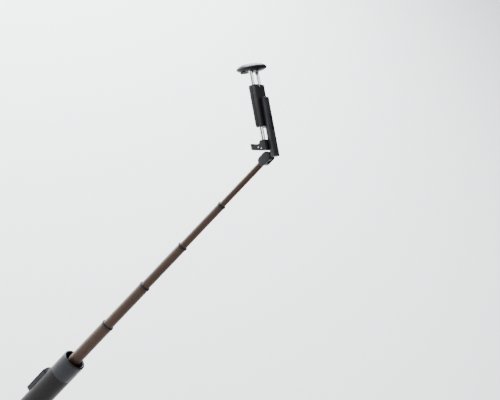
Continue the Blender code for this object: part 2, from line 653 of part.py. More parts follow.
def main():
    clear_scene()
    make_handle()
    make_remote()
    make_pole()
    make_connector()
    head = add_empty("head_tilt_axis", (0, 0, HINGE_Z), (radians(-HEAD_LEAN), 0, 0))
    make_arm(head)
    make_housing(head)
    make_lower_jaw(head)
    make_upper_jaw(head)
    make_spring(head)


main()
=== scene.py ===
"""Looks for the telescopic selfie stick: fine meshes, materials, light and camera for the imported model.

Shapes are made in millimetres and scaled when they are placed. Handle and pole pieces stand upright in
the part's own frame. Head pieces use the head frame: x along the hinge pin, y towards the phone, z up
the arm, origin at the hinge.
"""
import json
from math import atan2, cos, pi, radians, sin, tan

import bmesh
import bpy
from mathutils import Matrix, Vector


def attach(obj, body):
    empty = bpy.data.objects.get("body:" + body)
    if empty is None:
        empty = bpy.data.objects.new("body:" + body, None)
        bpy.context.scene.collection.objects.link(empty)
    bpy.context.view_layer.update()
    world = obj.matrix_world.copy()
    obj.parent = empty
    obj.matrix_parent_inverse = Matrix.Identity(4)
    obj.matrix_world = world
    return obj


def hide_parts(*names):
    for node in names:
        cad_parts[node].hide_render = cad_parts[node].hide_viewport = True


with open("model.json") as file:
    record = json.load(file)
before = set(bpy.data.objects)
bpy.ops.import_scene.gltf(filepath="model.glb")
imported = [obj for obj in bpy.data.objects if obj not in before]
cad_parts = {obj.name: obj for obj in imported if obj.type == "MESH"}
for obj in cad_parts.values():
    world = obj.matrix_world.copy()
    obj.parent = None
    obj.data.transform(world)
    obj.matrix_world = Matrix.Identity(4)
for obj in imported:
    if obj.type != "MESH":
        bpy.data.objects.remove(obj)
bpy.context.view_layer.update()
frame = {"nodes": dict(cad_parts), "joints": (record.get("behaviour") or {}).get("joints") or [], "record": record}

MM = 0.001
NODES = frame["nodes"]
JOINTS = {joint["name"]: joint for joint in frame["joints"]}

ROUND = 128
FINE = 64
SMALL = 32

# ---------------------------------------------------------------- places, worked out from the frame
SLIDE = Vector(JOINTS["upper_jaw_slide"]["axis"])
HINGE = Vector(JOINTS["head_tilt"]["pos_m"]) / MM
LEAN = atan2(SLIDE.y, SLIDE.z)
UPRIGHT = Matrix.Identity(4)
HEAD = Matrix.Translation(HINGE) @ Matrix.Rotation(-LEAN, 4, "X")


# ---------------------------------------------------------------- sizes in millimetres
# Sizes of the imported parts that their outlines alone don't give, and of the fine detail added here.
# PAST is how far a cutting tool reaches beyond the face it cuts; REACH clears the head sideways.
PAST = 1.0
REACH = 9.0
SEAT_GAP = 0.3
TUBE_CLEARANCE = 0.12
FINE_ROUNDING = 0.12

# Handle: its seam is a groove between two finishes; the darker, duller finish below the seam is partly the grip's
# own finish and partly painted shade, so the highlight on the top section stops at the seam.
MOUTH_RADIUS = 10.7
FOOT_ROUNDING = 0.4
RIM_ROUNDING = 1.1
MOUTH_ROUNDING = 0.7
SEAM_BELOW_RIM = 25.0
SEAM_HALF = 0.2
SEAM_LIP = 0.25
SEAM_DEPTH = 0.3
SEAM_ROUNDING = 0.15
GLAND_ROUNDING = (0.1, 0.8, 0.6)
END_CAP_ROUNDING = 1.2
END_CAP_RECESS_RADIUS = 8.6
END_CAP_RECESS = 0.3

# Shutter remote: the button's dish is given by insets from its edge and depths.
POD_SEAT = 11.4
POD_WALL = 1.0
POD_FLOOR = 0.8
POD_ROOF = 0.9
POD_EDGE = 1.0
POD_BASE_ROUNDING = 0.2
BUTTON_FLANGE_WIDTH = 0.8
BUTTON_FLANGE_HEIGHT = 0.4
BUTTON_ROUNDING = 0.4
BUTTON_DISH = ((0.9, 0.0), (1.3, 0.15), (2.2, 0.24))
BUTTON_MIDDLE_RADIUS = 0.5
BUTTON_MIDDLE_DEPTH = 0.28

# Pole
TUBES = 5
TUBE_WALL = 0.45
FLARE = 0.25
FLARE_HEIGHT = 2.5
FLARE_STEP = 0.2
ROLL_START = 0.3
ROLL_HEIGHT = 0.2
ROLL_INSET = 0.12
COLLAR_ROUNDING = 0.12
COLLAR_CROWN = 0.4
DIMPLE_BELOW_COLLAR = 5.5
DIMPLE_RADIUS = 1.0
DIMPLE_DEPTH = 0.3
DIMPLE_ANGLE = 135.0

# Connector and hinge pin
CONNECTOR_ROUNDING = 0.8
CONNECTOR_FINE_ROUNDING = 0.18
SLOT_HALF = 2.4
SLOT_DEPTH = 5.4
SOCKET_RADIUS = 3.4
SOCKET_TOP = 6.5
SOCKET_REACH = 20.0
PIN_RADIUS = 1.3
PIN_HOLE_RADIUS = 1.4
PIN_HOLE_WALL = 0.9
PIN_HEAD_RADIUS = 2.4
PIN_HEAD_HEIGHT = 0.9
PIN_HEAD_ROUNDING = 0.3
PIN_SEAT_RADIUS = 2.6
PIN_SEAT_DEPTH = 1.3
HEXAGON_RADIUS = 1.15
HEXAGON_DEPTH = 0.7

# Arm: a cover over a spine that carries the hinge tongue and the swivel stub.
SWIVEL = (0, 0, 51.5)
STUB_RADIUS = 3.6
STUB_FRONT = -4.35
STUB_PLAY = 0.2
ARM_HALF_TOP = 4.0
ARM_FOOT_WALL = 0.5
ARM_TOP_WALL = 0.9
ARM_ROUNDING = 0.8
ARM_SLOT = (24.3, 41.7)
ARM_SLOT_HALF = 1.3
ARM_SLOT_DEPTH = 1.0
ARM_SEAM_FROM_END = 3.0
ARM_SEAM_WIDTH = 0.2
ARM_SEAM_SIDE_DEPTH = 0.15
ARM_SEAM_BACK_DEPTH = 0.18
ARM_SEAM_REACH = 6.0
SPINE_HALF = 2.6
SPINE_BACK = -8.0
SPINE_FRONT = -5.5
SPINE_ABOVE_FOOT = 0.8
SPINE_ROUNDING = 0.2
SPINE_FINE_ROUNDING = 0.1
TONGUE_RADIUS = 4.6
TONGUE_HALF = 1.6
TONGUE_OVERLAP = 0.6
TONGUE_ROOT = (-1.1, 3.8)
SWIVEL_HOLE_RADIUS = 1.2
SWIVEL_HOLE = (-6.4, -3.1)

# Clamp housing and its screws
HOUSING_WALL = 0.7
HOUSING_FOOT = 5.0
HOUSING_HEAD = 3.0
HOUSING_CHAMFER = 0.35
SCREW_SEAT_RADIUS = 1.4
SCREW_RADIUS = 0.75
SCREW_HEAD_RADIUS = 1.25
SCREW_HEAD_HEIGHT = 0.75
SCREW_HEAD_ROUNDING = 0.3
SCREW_CROSS = (0.75, 0.16)
SCREW_CROSS_DEPTH = 0.45

# Rubber pads
PAD_CORNER = 1.5
RIB_PITCH = 1.6
RIB_GROOVE = 0.45
RIB_DEPTH = 0.22

# Rods and jaws
ROD_X = 5.3
ROD_Y = -1.0
ROD_EDGE = 0.25
UPPER_ROD_HOLE = 2.25
LOWER_ROD_HOLE = 2.5
LOWER_ROD_FOOT = 8.6
LOWER_CONTACT = 13.75
PAD_THICKNESS = 0.95
PAD_SINK = 0.2
JAW_LIP = 3.1
JAW_CORNER = 4.5
JAW_PLAN_MARGIN = 0.02
JAW_ROUNDING = 0.4
JAW_CLEAR_HEIGHT = 25.0
JAW_PIN_HOLE = 0.85
JAW_PIN_SEAT_DEPTH = 0.7
JAW_PIN_EDGE = 0.15
PHONE_EDGE_Y = 3.0
JAW_SEAT = 89.5
ROD_SEAT_DEPTH = 1.5
CAP_CENTRE_Y = 0.9
CAP_PAD_HALF_WIDTH = 7.6
CAP_PAD_HALF_LENGTH = 13.2
CAP_RIM_BACK = 89.0
CAP_RIM_TIP = 92.6
CAP_RISE = 5.6
CAP_DROP = 4.2
CAP_FIT = 0.985
CAP_RINGS = 41
CAP_RING_DEGREES = 2.0
CAP_GROOVE = (-7.0, -3.0)
CAP_GROOVE_SHARE = 0.022
LEDGE_HALF = 20.0
LEDGE_FRONT = 30.0
LEDGE_FOOT = 70.0


def extents(node, place=UPRIGHT):
    """Lowest and highest corners of a CAD node along a place's own axes, in millimetres."""
    inverse = place.inverted()
    corners = [inverse @ (v.co / MM) for v in NODES[node].data.vertices]
    low = Vector([min(c[i] for c in corners) for i in range(3)])
    high = Vector([max(c[i] for c in corners) for i in range(3)])
    return low, high


# ---------------------------------------------------------------- outlines
def fillet(outline, steps=5):
    """Rounds every (a, b, radius) corner of a closed outline; a radius of 0 keeps the corner."""
    rounded = []
    count = len(outline)
    for i, (a, b, radius) in enumerate(outline):
        corner = Vector((a, b))
        if not radius:
            rounded.append((a, b))
            continue
        before = (Vector(outline[i - 1][:2]) - corner).normalized()
        after = (Vector(outline[(i + 1) % count][:2]) - corner).normalized()
        half = before.angle(after) / 2
        centre = corner + (before + after).normalized() * radius / sin(half)
        first = corner + before * radius / tan(half) - centre
        last = corner + after * radius / tan(half) - centre
        sweep = atan2(first.x * last.y - first.y * last.x, first.dot(last))
        for k in range(steps + 1):
            t = sweep * k / steps
            x = first.x * cos(t) - first.y * sin(t)
            y = first.x * sin(t) + first.y * cos(t)
            rounded.append((centre.x + x, centre.y + y))
    return rounded


def arc(centre, radius, start, end, parts):
    angles = [radians(start + (end - start) * i / parts) for i in range(parts + 1)]
    return [(centre[0] + radius * cos(a), centre[1] + radius * sin(a)) for a in angles]


def ellipse(centre, half_a, half_b, parts=FINE):
    turns = [2 * pi * i / parts for i in range(parts)]
    return [(centre[0] + half_a * cos(t), centre[1] + half_b * sin(t)) for t in turns]


def slot_outline(half_width, half_length, parts=24):
    """A slot, long along its second coordinate."""
    straight = half_length - half_width
    top = arc((0, straight), half_width, 0, 180, parts)
    return top + arc((0, -straight), half_width, 180, 360, parts)


def rectangle(low, high, radius=0.0):
    (a0, b0), (a1, b1) = low, high
    return fillet([(a0, b0, radius), (a1, b0, radius), (a1, b1, radius), (a0, b1, radius)])


# ---------------------------------------------------------------- shapes, still in millimetres
SHARP_DEGREES = 32

AXES = {
    "X": Matrix(((0, 0, 1), (1, 0, 0), (0, 1, 0))),
    "Y": Matrix(((1, 0, 0), (0, 0, 1), (0, 1, 0))),
    "Z": Matrix.Identity(3),
}


def skin(rings, loop=False):
    """Joins rings of equal point counts into a closed object; a loop joins last ring to first."""
    count = len(rings[0])
    points = [Vector(p) for ring in rings for p in ring]
    faces = []
    for i in range(len(rings) if loop else len(rings) - 1):
        a = i * count
        b = ((i + 1) % len(rings)) * count
        faces += [(a + j, a + (j + 1) % count, b + (j + 1) % count, b + j) for j in range(count)]
    if not loop:
        faces.append(tuple(range(count))[::-1])
        faces.append(tuple(range(len(points) - count, len(points))))
    mesh = bpy.data.meshes.new("shape")
    mesh.from_pydata(points, [], faces)
    build = bmesh.new()
    build.from_mesh(mesh)
    bmesh.ops.recalc_face_normals(build, faces=build.faces)
    build.to_mesh(mesh)
    build.free()
    item = bpy.data.objects.new("shape", mesh)
    bpy.context.scene.collection.objects.link(item)
    return item


def levels(layers, axis="Z", at=(0, 0, 0)):
    """Skins (outline, height) layers stacked along an axis."""
    turn = AXES[axis]
    return skin([[turn @ Vector((a, b, h)) + Vector(at) for a, b in outline] for outline, h in layers])


def prism(outline, low, high, axis="Z", at=(0, 0, 0)):
    return levels([(outline, low), (outline, high)], axis, at)


def turned(profile, axis="Z", at=(0, 0, 0), parts=ROUND, loop=False):
    """Turns (radius, height) pairs about an axis; a loop profile is a ring's section."""
    turn = AXES[axis]
    angles = [2 * pi * j / parts for j in range(parts)]
    rings = []
    for radius, height in profile:
        ring = [Vector((radius * cos(a), radius * sin(a), height)) for a in angles]
        rings.append([turn @ point + Vector(at) for point in ring])
    return skin(rings, loop)


def rod(radius, low, high, axis="Z", at=(0, 0, 0), edge=0.0, parts=FINE):
    """A round bar with rounded ends when edge is given."""
    profile = [(radius, low), (radius, high)]
    if edge:
        steps = [radians(90 * k / 4) for k in range(5)]
        start = [(radius - edge + edge * sin(t), low + edge - edge * cos(t)) for t in steps]
        end = [(radius - edge + edge * cos(t), high - edge + edge * sin(t)) for t in steps]
        profile = start + end
    return turned(profile, axis, at, parts)


def modify(item, kind, **settings):
    step = item.modifiers.new(kind.lower(), kind)
    for name, value in settings.items():
        setattr(step, name, value)
    return item


def apply(item):
    """Turns an object's modifiers into plain mesh."""
    bpy.context.view_layer.update()
    graph = bpy.context.evaluated_depsgraph_get()
    mesh = bpy.data.meshes.new_from_object(item.evaluated_get(graph))
    item.modifiers.clear()
    item.data = mesh
    return item


def combine(item, tool, operation="DIFFERENCE"):
    modify(item, "BOOLEAN", operation=operation, solver="EXACT", object=tool)
    apply(item)
    bpy.data.objects.remove(tool, do_unlink=True)
    return item


def round_edges(item, width, segments=3, angle=35.0):
    modify(item, "BEVEL", width=width, segments=segments, limit_method="ANGLE",
           angle_limit=radians(angle), use_clamp_overlap=True)
    return apply(item)


def place(name, item, finish, body, nodes=(), slot=None, at=UPRIGHT):
    """Scales a shape to metres, puts it where it belongs, finishes it and lets it ride on its body."""
    item.data.transform(Matrix.Scale(MM, 4) @ at)
    item.name = name
    item.data.name = name
    item.data.materials.clear()
    item.data.materials.append(finish)
    item.data.shade_smooth()
    item.data.set_sharp_from_angle(angle=radians(SHARP_DEGREES))
    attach(item, body)
    if nodes:
        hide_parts(*nodes)
    return item


# ---------------------------------------------------------------- materials
MIX_FACTOR = 0
MIX_FIRST = 6
MIX_SECOND = 7
MIX_RESULT = 2
MOTTLE_SCALE = 90.0
SMUDGE_SCALE = 220.0
WORN_POINTINESS = (0.52, 0.62)
RELIEF = 0.5
ALONG = (1, 1, 0.06)


def link(tree, source, target):
    tree.links.new(source, target)


def noise(tree, vector, scale, detail=3.0):
    node = tree.nodes.new("ShaderNodeTexNoise")
    node.inputs["Scale"].default_value = scale
    node.inputs["Detail"].default_value = detail
    link(tree, vector, node.inputs["Vector"])
    return node.outputs["Fac"]


def remap(tree, value, low, high, from_low=0.3, from_high=0.7):
    node = tree.nodes.new("ShaderNodeMapRange")
    node.inputs["From Min"].default_value = from_low
    node.inputs["From Max"].default_value = from_high
    node.inputs["To Min"].default_value = low
    node.inputs["To Max"].default_value = high
    link(tree, value, node.inputs["Value"])
    return node.outputs["Result"]


def tint(tree, factor, first, second):
    node = tree.nodes.new("ShaderNodeMix")
    node.data_type = "RGBA"
    node.inputs[MIX_FIRST].default_value = (*first, 1.0)
    node.inputs[MIX_SECOND].default_value = (*second, 1.0)
    link(tree, factor, node.inputs[MIX_FACTOR])
    return node.outputs[MIX_RESULT]


def finish(name, colour, roughness, metallic=0.0, mottle=0.15, grain=2500.0, depth=0.00001,
           stretch=(1, 1, 1), wear=0.0, wear_colour=(0.05, 0.05, 0.05), spread=0.08, specular=0.5,
           turned_metal=0.0):
    """A shader with mottled colour, uneven roughness and fine grain relief.

    Wear lightens the edges, and turned metal stretches the highlight round the upright axis.
    """
    made = bpy.data.materials.new(name)
    made.use_nodes = True
    tree = made.node_tree
    shader = tree.nodes["Principled BSDF"]
    shader.inputs["Metallic"].default_value = metallic
    shader.inputs["Specular IOR Level"].default_value = specular
    if turned_metal:
        shader.inputs["Anisotropic"].default_value = turned_metal
        shader.inputs["Anisotropic Rotation"].default_value = 0.25
        tangent = tree.nodes.new("ShaderNodeTangent")
        tangent.direction_type = "RADIAL"
        tangent.axis = "Z"
        link(tree, tangent.outputs["Tangent"], shader.inputs["Tangent"])
    place_node = tree.nodes.new("ShaderNodeTexCoord")
    mapping = tree.nodes.new("ShaderNodeMapping")
    mapping.inputs["Scale"].default_value = stretch
    link(tree, place_node.outputs["Object"], mapping.inputs["Vector"])
    vector = mapping.outputs["Vector"]

    lighter = tuple(min(c * (1 + mottle), 1.0) for c in colour)
    darker = tuple(c * (1 - mottle) for c in colour)
    shade = tint(tree, remap(tree, noise(tree, vector, MOTTLE_SCALE), 0.0, 1.0), darker, lighter)
    if wear:
        geometry = tree.nodes.new("ShaderNodeNewGeometry")
        worn = remap(tree, geometry.outputs["Pointiness"], 0.0, wear, *WORN_POINTINESS)
        mix = tree.nodes.new("ShaderNodeMix")
        mix.data_type = "RGBA"
        mix.inputs[MIX_SECOND].default_value = (*wear_colour, 1.0)
        link(tree, worn, mix.inputs[MIX_FACTOR])
        link(tree, shade, mix.inputs[MIX_FIRST])
        shade = mix.outputs[MIX_RESULT]
    link(tree, shade, shader.inputs["Base Color"])
    smudges = noise(tree, vector, SMUDGE_SCALE, 4.0)
    uneven = remap(tree, smudges, roughness - spread, roughness + spread)
    link(tree, uneven, shader.inputs["Roughness"])
    bump = tree.nodes.new("ShaderNodeBump")
    bump.inputs["Strength"].default_value = RELIEF
    bump.inputs["Distance"].default_value = depth
    link(tree, noise(tree, vector, grain, 2.0), bump.inputs["Height"])
    link(tree, bump.outputs["Normal"], shader.inputs["Normal"])
    return made


FINISHES = {
    "pole_metal": finish("bronze_lacquer", (0.055, 0.034, 0.024), 0.42, metallic=0.7, grain=3500.0,
                         spread=0.03, depth=0.000002, stretch=ALONG, turned_metal=0.9),
    "satin_black": finish("satin_black", (0.009, 0.010, 0.013), 0.36, grain=3200.0, depth=0.000012,
                          wear=0.15, wear_colour=(0.06, 0.06, 0.07), specular=0.22),
    "matte_black": finish("matte_black", (0.009, 0.008, 0.009), 0.48, grain=2200.0, depth=0.00002,
                          wear=0.15, specular=0.16),
    "gloss_black": finish("gloss_black", (0.005, 0.005, 0.007), 0.34, grain=1800.0, depth=0.000003,
                          spread=0.03, specular=0.14),
    "soft_rubber": finish("soft_rubber", (0.020, 0.020, 0.021), 0.78, grain=1600.0, depth=0.00004,
                          specular=0.3),
    "chrome_rod": finish("chrome", (0.78, 0.78, 0.79), 0.08, metallic=1.0, mottle=0.03,
                         depth=0.000001, spread=0.03),
    "plain_steel": finish("plain_steel", (0.55, 0.55, 0.56), 0.30, metallic=1.0, mottle=0.08,
                          depth=0.000005),
    "brass_strip": finish("brass", (0.62, 0.45, 0.20), 0.30, metallic=1.0, mottle=0.10,
                          depth=0.000005),
    "circuit_board": finish("circuit_board", (0.02, 0.11, 0.05), 0.35, mottle=0.3, grain=1200.0,
                            depth=0.00002),
}
# A darker, duller copy of the satin black for the grip below the seam: partly its own finish, partly painted shade
# where the highlight stops.
GRIP_PAINTED_SHADE = finish("grip_black_painted_shade", (0.006, 0.005, 0.005), 0.40, mottle=0.05, grain=2600.0, depth=0.000006,
              spread=0.02, specular=0.15)


def slot_of(node):
    parts = frame["record"]["subparts"]
    return next(part["material_slot"] for part in parts if part["node"] == node)


def body_of(node):
    bodies = frame["record"]["behaviour"]["bodies"]
    return next(body for body, members in bodies.items() if node in members)


def dress_nodes():
    """Gives every CAD node the finish of its slot; the ones replaced below stay hidden."""
    for name, item in NODES.items():
        item.data.materials.clear()
        item.data.materials.append(FINISHES[slot_of(name)])


def stand_for(node, item, at=UPRIGHT):
    """Places a fine shape that stands for one CAD node, with its finish and body."""
    slot = slot_of(node)
    return place(f"fine_{node}", item, FINISHES[slot], body_of(node), (node,), slot, at)


# ---------------------------------------------------------------- handle
def make_handle():
    low, high = extents("handle_shell")
    radius = high.x
    seam = high.z - SEAM_BELOW_RIM
    shell = turned(fillet([
        (radius, low.z, FOOT_ROUNDING), (radius, seam - SEAM_LIP, SEAM_ROUNDING),
        (radius - SEAM_DEPTH, seam - SEAM_HALF, 0.0), (radius - SEAM_DEPTH, seam + SEAM_HALF, 0.0),
        (radius, seam + SEAM_LIP, SEAM_ROUNDING), (radius, high.z, RIM_ROUNDING),
        (MOUTH_RADIUS, high.z, MOUTH_ROUNDING), (MOUTH_RADIUS, low.z, 0.0),
    ]), loop=True)
    pod_low, pod_high = extents("remote_base")
    seat = slot_outline(pod_high.x + SEAT_GAP, (pod_high.z - pod_low.z) / 2 + SEAT_GAP)
    seat_at = (0, 0, (pod_low.z + pod_high.z) / 2)
    combine(shell, prism(seat, POD_SEAT, POD_SEAT + 5 * PAST, "Y", seat_at))
    shell = stand_for("handle_shell", shell)
    shell.data.materials.append(GRIP_PAINTED_SHADE)
    # Faces below the seam take the grip finish with its painted shade.
    for face in shell.data.polygons:
        face.material_index = 1 if face.center.z / MM < seam - SEAM_HALF else 0

    low, high = extents("handle_gland")
    bore = extents("tube_1")[1].x - FLARE + TUBE_CLEARANCE
    foot, crown, lip = GLAND_ROUNDING
    stand_for("handle_gland", turned(fillet([
        (high.x, low.z, foot), (high.x, high.z, crown), (bore, high.z, lip), (bore, low.z, 0.0),
    ]), loop=True))

    low, high = extents("handle_end_cap")
    spigot = extents("handle_sleeve")[1].x
    shoulder = extents("handle_shell")[0].z - SEAT_GAP
    edge = END_CAP_ROUNDING
    recess = END_CAP_RECESS
    stand_for("handle_end_cap", turned([
        *arc((END_CAP_RECESS_RADIUS - recess, low.z + recess), recess, 180, 0, 6),
        *arc((high.x - edge, low.z + edge), edge, -90, 0, 8),
        (high.x, shoulder), (spigot, shoulder), (spigot, high.z),
    ]))


# ---------------------------------------------------------------- shutter remote
def make_remote():
    low, high = extents("remote_base")
    at = (0, 0, (low.z + high.z) / 2)
    half_width = high.x
    half_length = (high.z - low.z) / 2
    outline = slot_outline(half_width, half_length)
    base = round_edges(prism(outline, low.y, high.y, "Y", at), POD_BASE_ROUNDING, 2)
    hollow = slot_outline(half_width - POD_WALL, half_length - POD_WALL)
    combine(base, prism(hollow, low.y + POD_FLOOR, high.y + PAST, "Y", at))
    stand_for("remote_base", base)

    cover_low, cover_high = extents("remote_cover")
    shoulder = cover_high.y - POD_EDGE
    layers = [(outline, cover_low.y), (outline, shoulder)]
    for k in range(1, 7):
        turn = radians(15 * k)
        inset = POD_EDGE * (1 - cos(turn))
        rounded = slot_outline(half_width - inset, half_length - inset)
        layers.append((rounded, shoulder + POD_EDGE * sin(turn)))
    cover = levels(layers, "Y", at)
    button_low, button_high = extents("shutter_button")
    button_at = (0, 0, (button_low.z + button_high.z) / 2)
    flange = button_high.x
    radius = flange - BUTTON_FLANGE_WIDTH
    combine(cover, prism(hollow, cover_low.y - PAST, cover_high.y - POD_ROOF, "Y", at))
    hole = rod(radius + SEAT_GAP, cover_high.y - 2 * PAST, cover_high.y + PAST, "Y", button_at)
    combine(cover, hole)
    stand_for("remote_cover", round_edges(cover, FINE_ROUNDING, 2, 50))

    top = button_high.y
    flange_top = button_low.y + BUTTON_FLANGE_HEIGHT
    edge = BUTTON_ROUNDING
    button = turned([
        (flange, button_low.y), (flange, flange_top), (radius, flange_top),
        *arc((radius - edge, top - edge), edge, 0, 90, 6),
        *[(radius - inset, top - depth) for inset, depth in BUTTON_DISH],
        (BUTTON_MIDDLE_RADIUS, top - BUTTON_MIDDLE_DEPTH),
    ], "Y", button_at, FINE)
    stand_for("shutter_button", button)


# ---------------------------------------------------------------- pole
def tube_rings(radius, low, high, dimple_z):
    """A drawn tube with a flared foot, a rolled top edge and a punched stop dimple in its outer skin."""
    foot = low + FLARE_HEIGHT
    rows = [low, foot, foot + FLARE_STEP]
    if dimple_z:
        rows += [dimple_z + DIMPLE_RADIUS * k / 6 for k in range(-8, 9)]
    rows += [high - ROLL_START, high - ROLL_HEIGHT / 2, high]
    turns = [2 * pi * j / ROUND for j in range(ROUND)]
    rings = []
    for z in rows:
        ring = []
        for turn in turns:
            r = radius + (FLARE if z <= foot else 0.0)
            if z > high - ROLL_HEIGHT:
                r -= ROLL_INSET * (z - high + ROLL_HEIGHT) / ROLL_HEIGHT
            if dimple_z:
                around = radius * ((turn - radians(DIMPLE_ANGLE) + pi) % (2 * pi) - pi)
                reach = Vector((around, z - dimple_z)).length / DIMPLE_RADIUS
                r -= DIMPLE_DEPTH * (1 - min(reach, 1.0) ** 2) ** 2
            ring.append((r * cos(turn), r * sin(turn), z))
        rings.append(ring)
    inner = radius - TUBE_WALL
    for z in (high, low):
        rings.append([(inner * cos(turn), inner * sin(turn), z) for turn in turns])
    return rings


def make_pole():
    for number in range(1, TUBES + 1):
        node = f"tube_{number}"
        low, high = extents(node)
        radius = high.x - FLARE
        dimple = None
        if number < TUBES:
            ring_low, ring_high = extents(f"{node}_collar")
            dimple = ring_low.z - DIMPLE_BELOW_COLLAR
        stand_for(node, skin(tube_rings(radius, low.z, high.z, dimple), loop=True))
        if number < TUBES:
            bore = extents(f"tube_{number + 1}")[1].x - FLARE + TUBE_CLEARANCE
            stand_for(f"{node}_collar", turned(fillet([
                (ring_high.x, ring_low.z, COLLAR_ROUNDING), (ring_high.x, ring_high.z, COLLAR_CROWN),
                (bore, ring_high.z, COLLAR_ROUNDING), (bore, ring_low.z, 0.0),
            ]), loop=True))


# ---------------------------------------------------------------- connector
def make_connector():
    low, high = extents("head_connector")
    half_y = high.y
    drop = HINGE.z - low.z - half_y
    outline = arc((0, 0), half_y, 0, 180, 32) + arc((0, -drop), half_y, 180, 360, 32)
    connector = prism(outline, low.x, high.x, "X", HINGE)
    round_edges(connector, CONNECTOR_ROUNDING, 5, 50)
    slot = rectangle((-SLOT_HALF, -REACH), (SLOT_HALF, REACH))
    combine(connector, prism(slot, HINGE.z - SLOT_DEPTH, HINGE.z + REACH))
    combine(connector, rod(SOCKET_RADIUS, HINGE.z - SOCKET_REACH, HINGE.z - SOCKET_TOP))
    combine(connector, rod(PIN_SEAT_RADIUS, high.x - PIN_SEAT_DEPTH, high.x + PAST, "X", HINGE))
    hole = rod(PIN_HOLE_RADIUS, low.x + PIN_HOLE_WALL, high.x + PAST, "X", HINGE, parts=SMALL)
    combine(connector, hole)
    stand_for("head_connector", round_edges(connector, CONNECTOR_FINE_ROUNDING, 2, 40))

    low, high = extents("hinge_pin")
    head = high.x - PIN_HEAD_HEIGHT
    edge = PIN_HEAD_ROUNDING
    pin = turned([
        (PIN_RADIUS, low.x), (PIN_RADIUS, head), (PIN_HEAD_RADIUS, head),
        *arc((PIN_HEAD_RADIUS - edge, high.x - edge), edge, 0, 90, 5),
    ], "X", HINGE, FINE)
    hexagon = arc((0, 0), HEXAGON_RADIUS, 0, 300, 5)
    combine(pin, prism(hexagon, high.x - HEXAGON_DEPTH, high.x + PAST, "X", HINGE))
    stand_for("hinge_pin", pin)


# ---------------------------------------------------------------- arm
def make_arm():
    low, high = extents("arm_cover", HEAD)
    blank_front = high.y + 2 * PAST
    layers = []
    for half, z in ((high.x, low.z), (ARM_HALF_TOP, high.z)):
        blank = [(-half, low.y), (half, low.y), (half, blank_front), (-half, blank_front)]
        layers.append((blank, z))
    cover = levels(layers)
    round_edges(cover, ARM_ROUNDING, 6, 30)
    front = rectangle((-REACH, high.y), (REACH, 0))
    combine(cover, prism(front, low.z - PAST, high.z + PAST))
    side = SPINE_HALF + SEAT_GAP
    channel = rectangle((-side, SPINE_BACK - SEAT_GAP), (side, blank_front))
    combine(cover, prism(channel, low.z + ARM_FOOT_WALL, high.z - ARM_TOP_WALL))
    start, end = ARM_SLOT
    recess = slot_outline(ARM_SLOT_HALF, (end - start) / 2)
    recess_at = (0, 0, (start + end) / 2)
    combine(cover, prism(recess, low.y - 2 * PAST, low.y + ARM_SLOT_DEPTH, "Y", recess_at))
    for seam, half in ((high.z - ARM_SEAM_FROM_END, ARM_HALF_TOP), (low.z + ARM_SEAM_FROM_END, high.x)):
        combine(cover, seam_ring(seam, half, low.y, high.y))
    stand_for("arm_cover", round_edges(cover, FINE_ROUNDING, 2, 40), HEAD)

    top = extents("arm_spine", HEAD)[1].z
    body = rectangle((-SPINE_HALF, SPINE_BACK), (SPINE_HALF, SPINE_FRONT), SPINE_ROUNDING)
    spine = prism(body, low.z + SPINE_ABOVE_FOOT, top)
    root = SPINE_FRONT - TONGUE_OVERLAP
    root_foot, root_top = TONGUE_ROOT
    tongue = arc((0, 0), TONGUE_RADIUS, -160, 100, 40) + [(root, root_top), (root, root_foot)]
    combine(spine, prism(tongue, -TONGUE_HALF, TONGUE_HALF, "X"), "UNION")
    combine(spine, rod(STUB_RADIUS, high.y + SEAT_GAP, STUB_FRONT, "Y", SWIVEL), "UNION")
    combine(spine, rod(SWIVEL_HOLE_RADIUS, *SWIVEL_HOLE, "Y", SWIVEL, parts=SMALL))
    combine(spine, rod(PIN_HOLE_RADIUS, -3 * PAST, 3 * PAST, "X", parts=SMALL))
    stand_for("arm_spine", round_edges(spine, SPINE_FINE_ROUNDING, 2, 40), HEAD)


def seam_ring(foot, half, back, front):
    """A square ring that cuts a shallow seam round the arm cover's back and sides."""
    top = foot + ARM_SEAM_WIDTH
    outer = (ARM_SEAM_REACH, PAST)
    inner = (half - ARM_SEAM_SIDE_DEPTH, -ARM_SEAM_BACK_DEPTH)
    rings = []
    for (reach, out), z in ((outer, foot), (outer, top), (inner, top), (inner, foot)):
        outline = rectangle((-reach, back - out), (reach, front + PAST))
        rings.append([(x, y, z) for x, y in outline])
    return skin(rings, loop=True)


# ---------------------------------------------------------------- clamp housing
def housing_shell(node, outward):
    """One half of the housing; outward is 1 for the phone's side and -1 for the arm's."""
    low, high = extents(node, HEAD)
    edge = high.y if outward > 0 else low.y
    split = low.y if outward > 0 else high.y
    chamfer = HOUSING_CHAMFER
    shell = prism([
        (-high.x, split), (-high.x, edge - outward * chamfer), (-high.x + chamfer, edge),
        (high.x - chamfer, edge), (high.x, edge - outward * chamfer), (high.x, split),
    ], low.z, high.z)
    round_edges(shell, FINE_ROUNDING, 3, 25)
    half = high.x - HOUSING_WALL
    back, front = sorted((edge - outward * HOUSING_WALL, split - outward * 2 * PAST))
    floor = low.z + HOUSING_FOOT
    roof = high.z - HOUSING_HEAD
    combine(shell, prism(rectangle((-half, back), (half, front)), floor, roof))
    for x in (-ROD_X, ROD_X):
        combine(shell, rod(UPPER_ROD_HOLE, roof - PAST, high.z + PAST, at=(x, ROD_Y, 0)))
        combine(shell, rod(LOWER_ROD_HOLE, low.z - PAST, floor + PAST, at=(x, ROD_Y, 0)))
    return shell


